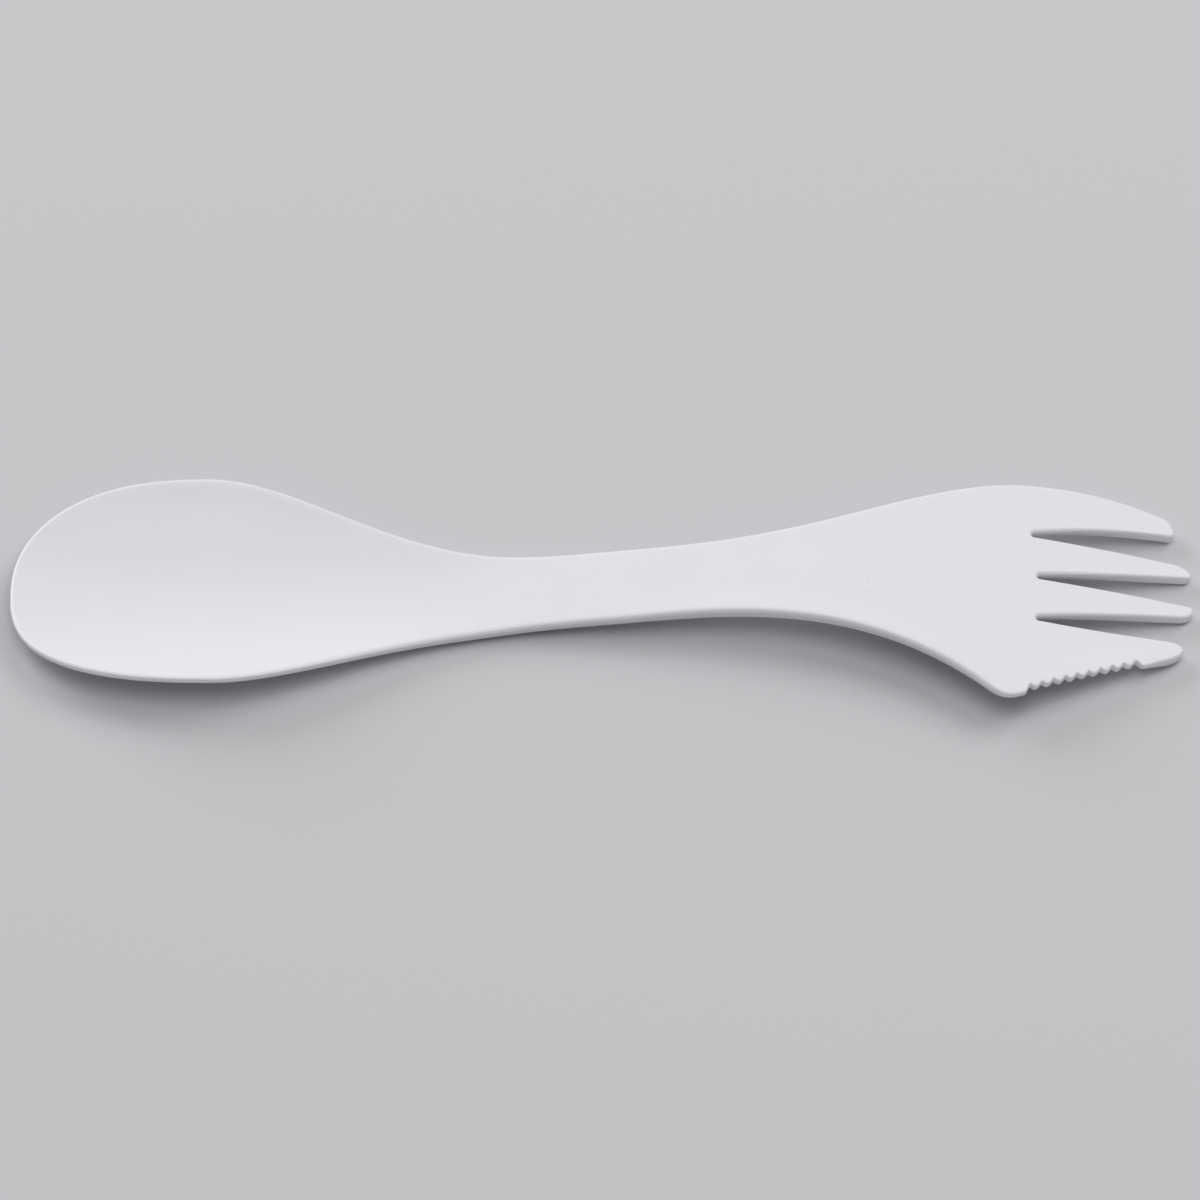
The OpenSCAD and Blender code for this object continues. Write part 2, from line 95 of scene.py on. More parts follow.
# %% [markdown]
# ## Rules that numbers and nodes both understand
#
# The outline is needed in Python, to cut the blank, and the heights are needed in
# the tree, to press it. Both follow from the same few rules, so each rule is written
# once. A `Term` is a number inside a node tree. When two terms are added or
# multiplied, a Math node is placed and wired. Given plain numbers the same rule
# simply gives a number.

# %% Terms: numbers inside a node tree
PLAIN = {
    "ADD": lambda a, b: a + b, "SUBTRACT": lambda a, b: a - b,
    "MULTIPLY": lambda a, b: a * b, "DIVIDE": lambda a, b: a / b,
    "POWER": lambda a, b: a ** b, "MINIMUM": min, "MAXIMUM": max,
    "LESS_THAN": lambda a, b: float(a < b), "ABSOLUTE": abs,
    "SINE": math.sin, "COSINE": math.cos, "TANGENT": math.tan,
}


def work(operation, *values):
    """One step of arithmetic, as a number or as a Math node."""
    tree = next((v.tree for v in values if isinstance(v, Term)), None)
    if tree is None:
        return PLAIN[operation](*values)
    node = tree.nodes.new("ShaderNodeMath")
    node.operation = operation
    for socket, value in zip(node.inputs, values):
        plug(tree, value, socket)
    return Term(tree, node.outputs[0])


def plug(tree, value, socket):
    if isinstance(value, Term):
        tree.links.new(value.socket, socket)
    else:
        socket.default_value = value


class Term:
    def __init__(self, tree, socket):
        self.tree, self.socket = tree, socket

    def __add__(self, other): return work("ADD", self, other)
    def __radd__(self, other): return work("ADD", other, self)
    def __sub__(self, other): return work("SUBTRACT", self, other)
    def __rsub__(self, other): return work("SUBTRACT", other, self)
    def __mul__(self, other): return work("MULTIPLY", self, other)
    def __rmul__(self, other): return work("MULTIPLY", other, self)
    def __truediv__(self, other): return work("DIVIDE", self, other)
    def __neg__(self): return work("MULTIPLY", self, -1.0)


def clamp(value):
    return work("MINIMUM", 1.0, work("MAXIMUM", 0.0, value))


def power(base, exponent):
    return work("POWER", clamp(base), exponent)


def ease(value):
    """Leaves 0 and reaches 1 softly."""
    c = clamp(value)
    return c * c * (3.0 - 2.0 * c)


def mix(a, b, share):
    return a + (b - a) * share


def choose(value, limit, below, above):
    return mix(above, below, work("LESS_THAN", value, limit))


print("half of the way eased:", ease(0.5), " a quarter:", ease(0.25))

# %% [markdown]
# ## The outline
#
# Seen from above, the bowl's front is a superellipse, and the neck and the palm
# widen along eased curves. The knife side sweeps out to a heel and runs back in a
# straight line, along which the teeth are cut later. Each rule takes the sizes `s`,
# which are plain numbers here and terms inside the tree.

# %% Rules of the outline
EGG, SWELL, SWEEP, DRAW = 2.4, 1.43, 2.93, 2.2      # exponents of the four curves


def settle(s):
    """Places along the spork and heights of the wall's middle, from the sizes.

    The plain factors are shares of the sizes they stand beside, as the photograph has them.
    """
    s.handle_at = s.bowl_front + s.neck_length
    s.flare_at = s.handle_at + s.grip_length
    s.root_at = s.flare_at + s.palm_length
    s.heel_at = s.root_at - s.heel_back
    s.end_at = s.root_at + s.tine_length
    s.corner_at = s.heel_at + s.heel_back * 0.55
    s.first_notch = s.corner_at + s.tooth_pitch * 0.47
    s.last_notch = s.first_notch + s.tooth_count * s.tooth_pitch
    s.knife_tip = s.end_at - s.outer_tine_short * 0.92
    s.knife_end = s.knife_tip - s.knife_round * 1.1
    s.rim_z = s.rim_height - s.bowl_wall * 0.5
    s.floor_z = s.bowl_wall * 0.5
    s.spoon_tip_z = s.spoon_tip_height - s.bowl_wall * 0.5
    s.dip_z = s.dip_height - s.handle_wall * 0.5
    s.crest_z = s.crest_height - s.handle_wall * 0.5
    s.tine_tip_z = s.tine_wall * 0.5
    s.rim_peak_at = s.bowl_front * 0.92
    s.dip_at = s.bowl_front + s.neck_length * 0.715
    s.crest_at = s.flare_at + s.palm_length * 0.63
    return s


def swell(value):
    return ease(power(value, SWELL))


def body_half(s, x):
    """Half the width of the bowl, the neck and the handle."""
    front = s.bowl_width * 0.5 * power(1.0 - power(1.0 - x / s.bowl_front, EGG), 1 / EGG)
    neck = mix(s.handle_width, s.bowl_width, swell((s.handle_at - x) / s.neck_length)) * 0.5
    return choose(x, s.bowl_front, front, neck)


def knife_line(s, x):
    return s.heel_reach - (x - s.heel_at) * work("TANGENT", s.knife_angle)


def soft_min(a, b, k):
    """The smaller of two values, with the corner blended over width k."""
    h = clamp(0.5 + (b - a) / (2.0 * k))
    return mix(b, a, h) - k * h * (1.0 - h)


def near_edge(s, x):
    """The knife side before its teeth are cut."""
    out = s.heel_reach + s.heel_round * 0.23 - s.handle_width * 0.5
    grown = work("MAXIMUM", 0.0, (x - s.flare_at) / (s.heel_at - s.flare_at))
    sweep = s.handle_width * 0.5 + out * work("POWER", grown, SWEEP)
    return -choose(x, s.flare_at, body_half(s, x), soft_min(sweep, knife_line(s, x), s.heel_round))


def far_edge(s, x):
    """The plain side, from the spoon tip to the outer tine."""
    palm = mix(s.handle_width * 0.5, s.palm_reach, swell((x - s.flare_at) / s.palm_length))
    drawn = work("MAXIMUM", 0.0, (x - s.root_at) / (s.tine_length - s.outer_tine_short))
    tine = s.palm_reach - s.outer_draw * work("POWER", drawn, DRAW)
    return choose(x, s.flare_at, body_half(s, x), choose(x, s.root_at, palm, tine))


size = settle(SimpleNamespace(**SIZES))
for name, x in (("bowl", size.bowl_front), ("handle", size.handle_at), ("palm", size.heel_at)):
    print(f"{name}: {far_edge(size, x) - near_edge(size, x):.1f} mm wide at {x:.1f} mm")

# %% [markdown]
# ## The slots between the tines
#
# Each slot has a round root and opens toward its mouth. Only the outer tines are
# hollowed, and the two middle ones have straight flanks, so the two walls of a slot
# bow by different shares. The tips are cut off aslant: on each tine one corner is
# long and the other short, and the foremost point leans to the side of the short one.
# Nothing in the tree needs the slots, so plain numbers do.

# %% Rules of the slots and tines
SLOT_PITCH, MOUTH_PITCH, MOUTH_LEAN = 7.9, 7.5, 0.25
SLOT_ROOT_WIDTH, SLOT_MOUTH_WIDTH = 0.9, (5.5, 5.5, 5.0)
SLOT_STEP = (0.0, 0.5, 0.0)                         # the middle slot stops nearer the tips
MOUTH_ACROSS = (MOUTH_PITCH - MOUTH_LEAN, -MOUTH_LEAN, -MOUTH_PITCH)
FAR_BOW, NEAR_BOW = (1.25, 0.1, 0.25), (-0.2, -0.1, 0.75)
TINE_ROUND, KNIFE = 1.3, 3                          # KNIFE is the last of the four tines
# Lengths of the corners on the +Y and the -Y side, as shares of the rounded ends, and
# how far the tips lean toward +Y, as shares of half the tine's width
FAR_CORNER, NEAR_CORNER = (1.0, 2.1, 0.5, 1.0), (0.6, 0.5, 1.4, 1.1)
TIP_LEAN = (-0.4, -0.45, 0.45, 0.0)


def slot_root(slot):
    return size.root_at + SLOT_STEP[slot]


def slot_middle(slot, x):
    return mix((1 - slot) * SLOT_PITCH, MOUTH_ACROSS[slot], (x - size.root_at) / size.tine_length)


def slot_half(slot, x, bow):
    start = slot_root(slot) + SLOT_ROOT_WIDTH / 2
    u = (x - start) / (size.end_at - start)
    return mix(SLOT_ROOT_WIDTH / 2, SLOT_MOUTH_WIDTH[slot] / 2, u + bow * u * (1 - u))


def tine_edge(tine, side, x):
    """Across place of a tine's edge on its +Y side (1) or its -Y side (-1)."""
    if side > 0:
        return far_edge(size, x) if tine == 0 else (
            slot_middle(tine - 1, x) - slot_half(tine - 1, x, NEAR_BOW[tine - 1]))
    return -knife_line(size, x) if tine == KNIFE else (
        slot_middle(tine, x) + slot_half(tine, x, FAR_BOW[tine]))


def tine_tip(tine):
    return (size.end_at - size.outer_tine_short, size.end_at, size.end_at, size.knife_tip)[tine]


def corner_length(tine, side):
    share = (FAR_CORNER if side > 0 else NEAR_CORNER)[tine]
    return share * (size.knife_round if tine == KNIFE else TINE_ROUND)


for tine in range(4):
    far, near = (tine_edge(tine, side, tine_tip(tine)) for side in (1, -1))
    print(f"tine {tine} would be {far - near:.1f} mm wide at its tip if it weren't rounded")

# %% [markdown]
# ## One section of the blank
#
# The blank is a closed skin that is built from loops across the spork. A loop runs
# up one edge, over the top, down the other edge and back underneath. Pressing it
# must not squash the rounded edges, so each point remembers how it sits in the
# wall: its `level` from the under side (0) to the top (1), and how far the rounding
# has lifted it from below and lowered it from above. A slight ridge round the edge
# is the seam where the two halves of the mould met. In the bowl and the tines it
# runs half way up. In the handle and the palm it runs near the top, and below it
# the edge leans in, as a mould's draft makes it.

# %% Points of the edges and of the loops
ARC = [math.radians(22.5 * step) for step in range(5)]


def knife_share(s, x):
    """1 along the knife edge, and 0 before the heel and at the tip of its tine."""
    sets_in = ease((x - s.heel_at + s.bevel_width) / s.bevel_width)
    return sets_in * ease((s.knife_end - x) / (s.knife_end - s.last_notch - s.tooth_runout))


def point(place, level, rise=0.0, drop=0.0, pull=0.0, tooth=0.0):
    return dict(place=place, level=level, rise=rise, drop=drop, pull=pull, tooth=tooth)


def moved(place, direction, distance):
    return (place[0] + direction[0] * distance, place[1] + direction[1] * distance)


def plain_wall(s, x):
    """Thickness of the wall in bowl, handle and tines, before the bevel thins it."""
    neck = mix(s.bowl_wall, s.handle_wall, ease((x - s.bowl_front) / s.neck_length))
    palm = mix(s.handle_wall, s.tine_wall, ease((x - s.flare_at) / s.palm_length))
    return choose(x, s.handle_at, neck, palm)


def plain_radii(x):
    """Radii of the edge below and above, as far as the wall has room for them."""
    wall = plain_wall(size, x)
    return min(UNDER_EDGE, wall * 0.5), min(TOP_EDGE, wall * 0.4)


def drafted(x):
    """How much of the draft the edge has: the bowl is too thin for it, and the tines lack it."""
    neck = ease((x - size.bowl_front) / size.neck_length)
    return neck * ease((size.heel_at - x) / (size.heel_back * 2))


def edge_radii(place, knife):
    """Below and above: smaller toward the tips of the tines and along the knife edge."""
    tine = size.tine_length - size.outer_tine_short - size.knife_round
    tip = ease((place[0] - size.root_at) / tine)
    share = knife_share(size, place[0]) if knife else 0.0
    under, top = (mix(mix(radius, TIP_EDGE, tip), KNIFE_EDGE, share)
                  for radius in plain_radii(place[0]))
    return mix(under, min(under, DRAFT_ROUND), drafted(place[0])), top


def insets(place, knife):
    """How far the rounded edge reaches in, below and above."""
    under, top = edge_radii(place, knife)
    return under + DRAFT * drafted(place[0]), top


def edge_column(place, outward, knife=False, teeth=False):
    """Points round an edge, from the under side to the top."""
    under, top = edge_radii(place, knife)
    mark = dict(pull=1.0, tooth=place[0]) if teeth else {}
    lean = DRAFT * drafted(place[0])
    wall = plain_wall(size, place[0])
    if knife:
        wall = mix(wall, size.knife_edge_wall, knife_share(size, place[0]))
    seam = mix(0.5, 0.8, drafted(place[0]))
    seam_share = min(SEAM_HEIGHT / (wall - under - top), 1.8 * (1 - seam))
    column = [point(moved(place, outward, under * (math.sin(a) - 1) - lean), 0.0,
                    under * (1 - math.cos(a)), top, **mark) for a in ARC]
    for step in (-1, 0, 1):
        proud = (-lean * seam_share / 2 / seam, SEAM_PROUD, 0.0)[step + 1]
        column.append(point(moved(place, outward, proud), seam + step * seam_share / 2,
                            under, top, **mark))
    return column + [point(moved(place, outward, top * (math.sin(a) - 1)), 1.0,
                           under, top * (1 - math.cos(a)), **mark) for a in reversed(ARC)]


def section(far, near, shares, top_bow=None, under_bow=None, knife=False, teeth=False):
    """One loop between an edge point and its outward direction on each side."""
    reach_in = insets(far[0], False), insets(near[0], knife)
    loops = []
    for level, bow in ((0, under_bow), (1, top_bow)):
        a = moved(*far, -reach_in[0][level])
        b = moved(*near, -reach_in[1][level])
        row = []
        for i, share in enumerate(shares):
            x, y = mix(a[0], b[0], share), mix(a[1], b[1], share)
            if bow:
                x, y = x + bow[i][0], y + bow[i][1]
            row.append(point((x, y), float(level), pull=share if teeth else 0.0,
                             tooth=near[0][0] if teeth else 0.0))
        loops.append(row)
    return (edge_column(*far) + loops[1] + edge_column(*near, knife, teeth)[::-1]
            + loops[0][::-1])


def unit(x, y):
    length = math.hypot(x, y)
    return x / length, y / length


COLUMN = len(edge_column((0.0, 0.0), (-1.0, 0.0)))
print("an edge is rounded over", COLUMN, "points")

# %% [markdown]
# ## The body of the blank
#
# From the spoon tip to the slot roots the blank is one run of loops. They crowd at
# the tip, where the outline turns fastest. The last ones lean, so that they end at
# the corner before the teeth, and their points bend to the three slot roots.

# %% Loops of the body
PROBE = 0.1                                         # step over which slopes are measured
FRONT_ROWS, MIDDLE_ROWS, PALM_ROWS = 34, 116, 22
ACROSS = (9, 9, 9, 11)                              # points across each tine
lean_from = size.heel_at - size.heel_back


def near_place(x):
    """The loops lean, so their -Y ends lag behind."""
    return x - (size.root_at - size.corner_at) * ease((x - lean_from) / (size.root_at - lean_from))


def body_ends(x):
    n = near_place(x)
    far_slope = (far_edge(size, x + PROBE) - far_edge(size, x - PROBE)) / (2 * PROBE)
    near_slope = (near_edge(size, n + PROBE) - near_edge(size, n - PROBE)) / (2 * PROBE)
    return (((x, far_edge(size, x)), unit(-far_slope, 1.0)),
            ((n, near_edge(size, n)), unit(near_slope, -1.0)))


def spread_marks(marks):
    """Values given at the slot roots, spread over all the points across."""
    return [mix(marks[k], marks[k + 1], i / (ACROSS[k] + 1))
            for k in range(4) for i in range(1, ACROSS[k] + (2 if k < KNIFE else 1))]


last_far, last_near = body_ends(size.root_at)
root_radii = edge_radii(last_far[0], False), edge_radii(last_near[0], True)
seat_far = [moved(*last_far, -root_radii[0][level]) for level in (0, 1)]
seat_near = [moved(*last_near, -root_radii[1][level]) for level in (0, 1)]
far_y, near_y = seat_far[1][1], seat_near[1][1]
root_shares = [(far_y - slot_middle(slot, size.root_at)) / (far_y - near_y) for slot in range(3)]
body_shares = spread_marks([0.0, *root_shares, 1.0])


def root_bow(level):
    """How far the last loop's points move, so that they meet the slot roots."""
    radius = plain_radii(size.root_at)[level]
    a, b = seat_far[level], seat_near[level]
    bows = [(slot_root(slot) - radius - mix(a[0], b[0], share),
             slot_middle(slot, size.root_at) - mix(a[1], b[1], share))
            for slot, share in enumerate(root_shares)]
    ends = [(0.0, 0.0), *bows, (0.0, 0.0)]
    return list(zip(spread_marks([e[0] for e in ends]), spread_marks([e[1] for e in ends])))


root_bows = root_bow(0), root_bow(1)
body_rows = [size.bowl_front * (1 - math.cos(math.pi / 2 * i / FRONT_ROWS))
             for i in range(1, FRONT_ROWS + 1)]
body_rows += [mix(size.bowl_front, lean_from, i / MIDDLE_ROWS) for i in range(1, MIDDLE_ROWS + 1)]
body_rows += [mix(lean_from, size.root_at, i / PALM_ROWS) for i in range(1, PALM_ROWS + 1)]

points, loops = edge_column((0.0, 0.0), (-1.0, 0.0)), []
loops.append([*range(COLUMN)] + [COLUMN - 1] * len(body_shares)
             + [*range(COLUMN)][::-1] + [0] * len(body_shares))
for x in body_rows:
    fade = ease((x - lean_from) / (size.root_at - lean_from))
    bows = [[(fade * dx, fade * dy) for dx, dy in bow] for bow in root_bows]
    far, near = body_ends(x)
    first = len(points)
    points += section(far, near, body_shares, bows[1], bows[0], knife=True)
    loops.append([*range(first, len(points))])
strips = [loops]
print(len(loops), "loops of", len(loops[-1]), "points make the body")

# %% [markdown]
# ## The four tines of the blank
#
# A tine starts on its share of the body's last loop. Between two tines a column of
# points closes the round root of the slot, and from there the edge turns gently to
# the slope of the flank, so that no loop overtakes the next. The knife tine has
# fourteen loops to a tooth, because its teeth are cut by the tree and need points to
# move. A corner of a tip leaves its flank along the flank's slope and ends square
# across. There the loops fold up into a single column, which closes the skin.

# %% Loops of the tines
ROOT_ROWS, FLANK_ROWS, END_ROWS = 6, 34, 9
TOOTH_ROWS, RAMP_ROWS, RUNOUT_ROWS = 14, 8, 10
FLANK_TURN = 1.5
knife_outward = (math.sin(size.knife_angle), -math.cos(size.knife_angle))


def spread(a, b, count):
    return [mix(a, b, i / count) for i in range(1, count + 1)]


knife_places = (
    spread(size.corner_at, size.first_notch, RAMP_ROWS)
    + spread(size.first_notch, size.last_notch, round(size.tooth_count) * TOOTH_ROWS)
    + spread(size.last_notch, size.last_notch + size.tooth_runout, RAMP_ROWS)
    + spread(size.last_notch + size.tooth_runout, size.knife_end, RUNOUT_ROWS))


def root_arc(slot, side):
    """The quarter of a slot's round root that one tine has."""
    r = SLOT_ROOT_WIDTH / 2
    x = slot_root(slot) + r
    turns = [math.pi / 2 * i / ROOT_ROWS for i in range(1, ROOT_ROWS + 1)]
    return [((x - r * math.cos(a), slot_middle(slot, x) - side * r * math.sin(a)),
             (math.cos(a), side * math.sin(a))) for a in turns]


def flank(tine, side, places, start=-math.inf):
    """From a slot's round root the edge turns to the flank's slope over a short way."""
    rows = []
    for x in places:
        rise = tine_edge(tine, side, x + PROBE) - tine_edge(tine, side, x - PROBE)
        rise *= ease((x - start) / FLANK_TURN)
        rows.append(((x, tine_edge(tine, side, x)), unit(-side * rise / (2 * PROBE), side)))
    return rows


def end_arc(tine, side):
    """The rounded corner between a side of the tine and its tip."""
    tip, length = tine_tip(tine), corner_length(tine, side)
    far, near = tine_edge(tine, 1, tip), tine_edge(tine, -1, tip)
    foremost = mix(near, far, (1 + TIP_LEAN[tine]) / 2)
    edge = far if side > 0 else near
    draw, width = tine_edge(tine, side, tip - length) - edge, edge - foremost
    rows = []
    for i in range(1, END_ROWS + 1):
        a = math.pi / 2 * (1 - i / END_ROWS)
        c, s = math.cos(a), math.sin(a)
        rows.append(((tip - length * (1 - c), foremost + draw * (1 - c) + width * s),
                     unit(side * (draw * s + width * c), side * length * s)))
    return rows


def tine_sides(tine):
    far_end, near_end = (tine_tip(tine) - corner_length(tine, side) for side in (1, -1))
    if tine == 0:
        far = flank(0, 1, spread(size.root_at, far_end, ROOT_ROWS + FLANK_ROWS))
    else:
        start = slot_root(tine - 1) + SLOT_ROOT_WIDTH / 2
        places = spread(start, far_end, FLANK_ROWS)
        if tine == KNIFE:                           # level with the rows of the teeth
            level = knife_places[ROOT_ROWS - 1]
            places = [mix(start, far_end, (x - level) / (near_end - level))
                      for x in knife_places[ROOT_ROWS:]]
        far = root_arc(tine - 1, 1) + flank(tine, 1, places, start)
    if tine == KNIFE:
        near = [((x, tine_edge(KNIFE, -1, x)), knife_outward) for x in knife_places]
    else:
        start = slot_root(tine) + SLOT_ROOT_WIDTH / 2
        near = root_arc(tine, -1) + flank(tine, -1, spread(start, near_end, FLANK_ROWS), start)
    return far + end_arc(tine, 1), near + end_arc(tine, -1)


def mark_place(slot):
    """Place of a slot root among the points across the last loop."""
    return sum(ACROSS[:slot + 1]) + slot


body_loop, across_all = loops[-1], len(body_shares)
tops = body_loop[COLUMN:COLUMN + across_all]
unders = body_loop[2 * COLUMN + across_all:][::-1]
columns = [body_loop[:COLUMN]]
for slot in range(3):
    first = len(points)
    points += edge_column((slot_root(slot), slot_middle(slot, size.root_at)), (1.0, 0.0))[1:-1]
    columns.append([unders[mark_place(slot)], *range(first, len(points)), tops[mark_place(slot)]])
columns.append(body_loop[COLUMN + across_all:2 * COLUMN + across_all][::-1])

for tine in range(4):
    first, count = mark_place(tine - 1) + 1 if tine else 0, ACROSS[tine]
    loops = [columns[tine] + tops[first:first + count] + columns[tine + 1][::-1]
             + unders[first:first + count][::-1]]
    shares = [i / (count + 1) for i in range(1, count + 1)]
    far_side, near_side = tine_sides(tine)
    for far, near in list(zip(far_side, near_side))[:-1]:
        start = len(points)
        teeth = tine == KNIFE and len(loops) <= len(knife_places)
        points += section(far, near, shares, knife=tine == KNIFE, teeth=teeth)
        loops.append([*range(start, len(points))])
    start = len(points)
    points += edge_column(*far_side[-1])
    tip = [*range(start, len(points))]
    loops.append(tip + [tip[-1]] * count + tip[::-1] + [tip[0]] * count)
    strips.append(loops)
print("the blank has", len(points), "points")

# %% [markdown]
# ## The blank as a mesh
#
# Neighbouring loops are joined by four-sided faces, or by three-sided ones where a
# loop has folded up. What each point remembers becomes an attribute, which the tree
# can read by its name. The faces round the place of the gate are then divided, so
# that its small dimple has points enough to be pressed into.

# %% Cutting the blank
BLANK_WALL = 2.0
GATE_REACH, GATE_CUTS = 2.6, 7                      # in gate radii, and cuts to an edge


def blank_height(p):
    half = BLANK_WALL / 2
    return mix(p["rise"] - half, half - p["drop"], p["level"])


faces = []
for loops in strips:
    for a, b in zip(loops, loops[1:]):
        for i in range(len(a)):
            j = (i + 1) % len(a)
            corners = list(dict.fromkeys((a[j], b[j], b[i], a[i])))
            if len(corners) > 2:
                faces.append(corners)
blank_mesh = bpy.data.meshes.new("spork_blank")
blank_mesh.from_pydata([(*p["place"], blank_height(p)) for p in points], [], faces)
for name in ("level", "rise", "drop", "pull", "tooth"):
    attribute = blank_mesh.attributes.new(name, "FLOAT", "POINT")
    attribute.data.foreach_set("value", [p[name] for p in points])

shell = bmesh.new()
shell.from_mesh(blank_mesh)
gate = Vector((size.gate_along, size.gate_across))
on_top = BLANK_WALL * 0.49
near_gate = [face for face in shell.faces if face.calc_center_median().z > on_top
             and (face.calc_center_median().xy - gate).length < GATE_REACH * size.gate_radius]
bmesh.ops.subdivide_edges(shell, edges=list({e for face in near_gate for e in face.edges}),
                          cuts=GATE_CUTS, use_grid_fill=True)
open_edges = sum(not e.is_manifold for e in shell.edges)
shell.to_mesh(blank_mesh)
shell.free()
blank = bpy.data.objects.new("spork_blank", blank_mesh)
bpy.context.scene.collection.objects.link(blank)
print(len(blank_mesh.polygons), "faces,", open_edges, "open edges,",
      len(near_gate), "faces divided at the gate")

# %% [markdown]
# ## The rules of the side view
#
# Two guide lines give the long S: the rim, and the floor of the bowl below it. The
# middle of the wall lies between them, nearer the floor toward the middle line. The
# wall has its own thickness in the bowl, the handle and the tines, and it is thinned
# toward the knife. The raised lip follows the knife side of the handle.

# %% Rules of the side view and of the wall
TIP_RISE, FLOOR, DISH, CLIMB = 2.75, 2.2, 2.2, 0.81     # exponents of its curves
NOTCH_ROUND = 0.2                                   # 0 would make the notches' roots sharp


def rim_line(s, x):
    along = work("MAXIMUM", 0.0, x)
    tip = s.rim_z - (s.rim_z - s.spoon_tip_z) * power(1.0 - along / s.rim_peak_at, TIP_RISE)
    fall = mix(s.dip_z, s.rim_z, ease((s.dip_at - x) / (s.dip_at - s.rim_peak_at)))
    climb = mix(s.dip_z, s.crest_z, ease(power((x - s.dip_at) / (s.crest_at - s.dip_at), CLIMB)))
    run = s.end_at - s.crest_at
    u = (x - s.crest_at) / run
    arch = (s.tine_tip_z + (s.crest_z - s.tine_tip_z) * (1.0 - u * u * (3.0 - 2.0 * u))
            + run * work("TANGENT", s.tine_dip) * u * u * (1.0 - u))
    behind = choose(x, s.crest_at, climb, arch)
    return choose(x, s.rim_peak_at, tip, choose(x, s.dip_at, fall, behind))


def wall_middle(s, x, y):
    rim = rim_line(s, x)
    along = work("MAXIMUM", 0.0, x)
    ahead = power(1.0 - along / s.bowl_front, FLOOR)
    front = rim - s.floor_z - (s.spoon_tip_z - s.floor_z) * ahead
    back = (rim_line(s, s.bowl_front) - s.floor_z) * swell((s.handle_at - x) / s.neck_length)
    side = clamp(work("ABSOLUTE", y) / work("MAXIMUM", PROBE, body_half(s, x)))
    return rim - choose(x, s.bowl_front, front, back) * (1.0 - power(side, DISH))


def half_wall(s, x, y):
    wall = plain_wall(s, x)
    from_knife = (y + knife_line(s, x)) * work("COSINE", s.knife_angle)
    bevel = knife_share(s, x) * (1.0 - clamp(from_knife / s.bevel_width))
    return mix(wall, work("MINIMUM", wall, s.knife_edge_wall), bevel) * 0.5


def lip(s, x, y):
    edge = near_edge(s, work("MINIMUM", x, s.heel_at))
    across = ease(1.0 - (y - edge) / s.lip_width)
    return (s.lip_height * ease((x - s.flare_at) / (s.palm_length * 0.25))
            * ease((s.heel_at - x) / (s.lip_width * 2.0)) * across)


def tooth_cut(s, x):
    """How deep the teeth are cut: rounded teeth with a notch at each end."""
    into = ease((x - s.corner_at) / (s.first_notch - s.corner_at))
    out = ease(1.0 - (x - s.last_notch) / s.tooth_runout)
    wave = work("SINE", (x - s.first_notch) * math.pi / s.tooth_pitch)
    r = NOTCH_ROUND
    wave = (work("POWER", wave * wave + r * r, 0.5) - r) / (math.hypot(1.0, r) - r)
    notch = choose(x, s.first_notch, into, choose(x, s.last_notch, 1.0 - wave, out))
    return s.tooth_depth * notch + s.tooth_set * work("MINIMUM", into, out)


def gate_dimple(s, x, y):
    off = work("POWER", (x - s.gate_along) * (x - s.gate_along)
               + (y - s.gate_across) * (y - s.gate_across), 0.5)
    return s.gate_depth * ease(1.0 - off / s.gate_radius)


print("rim at the bowl:", round(rim_line(size, size.bowl_front), 2),
      "mm, floor:", round(wall_middle(size, size.bowl_front, 0.0), 2), "mm")

# %% [markdown]
# ## The press, as a Geometry Nodes tree
#
# `new_tree` makes an empty tree whose inputs carry the sizes by name. The height of
# the wall's middle is wanted at five places for each point: at the point, and a
# little to each side of it to find the slope. So that rule goes into a small tree
# of its own, and the press uses it five times.

# %% Empty trees with the sizes as named inputs
def spoken(name):
    return name.replace("_", " ").capitalize()


def new_tree(name, first_inputs, outputs):
    tree = bpy.data.node_groups.new(name, "GeometryNodeTree")
    for title, kind in first_inputs:
        tree.interface.new_socket(title, in_out="INPUT", socket_type=kind)
    for title, value in SIZES.items():
        socket = tree.interface.new_socket(spoken(title), in_out="INPUT",
                                           socket_type="NodeSocketFloat")
        socket.default_value = value
    for title, kind in outputs:
        tree.interface.new_socket(title, in_out="OUTPUT", socket_type=kind)
    entry, leave = tree.nodes.new("NodeGroupInput"), tree.nodes.new("NodeGroupOutput")
    sizes = {title: Term(tree, entry.outputs[spoken(title)]) for title in SIZES}
    return tree, entry, leave, settle(SimpleNamespace(**sizes))


middle_tree, entry, leave, s = new_tree(
    "Middle of the wall", [("Along", "NodeSocketFloat"), ("Across", "NodeSocketFloat")],
    [("Height", "NodeSocketFloat")])
height = wall_middle(s, Term(middle_tree, entry.outputs["Along"]),
                     Term(middle_tree, entry.outputs["Across"]))
middle_tree.links.new(height.socket, leave.inputs["Height"])
print("the middle of the wall takes", len(middle_tree.nodes), "nodes")

# %% [markdown]
# The press reads each point of the blank. It first pushes the knife edge back by the
# cut of the teeth, and the points across the tine by their share of it. Then it puts
# the point on the wall's middle and moves it along the slope's normal to its own
# place in the wall, which keeps every edge round and every wall its true thickness.

# %% The press
press, entry, leave, s = new_tree(
    "Press the spork", [("Blank", "NodeSocketGeometry"), ("Plastic", "NodeSocketMaterial")],
    [("Spork", "NodeSocketGeometry")])


def place_node(kind, **settings):
    node = press.nodes.new(kind)
    for name, value in settings.items():
        setattr(node, name, value)
    return node


def remembered(name):
    node = place_node("GeometryNodeInputNamedAttribute", data_type="FLOAT")
    node.inputs["Name"].default_value = name
    return Term(press, node.outputs["Attribute"])


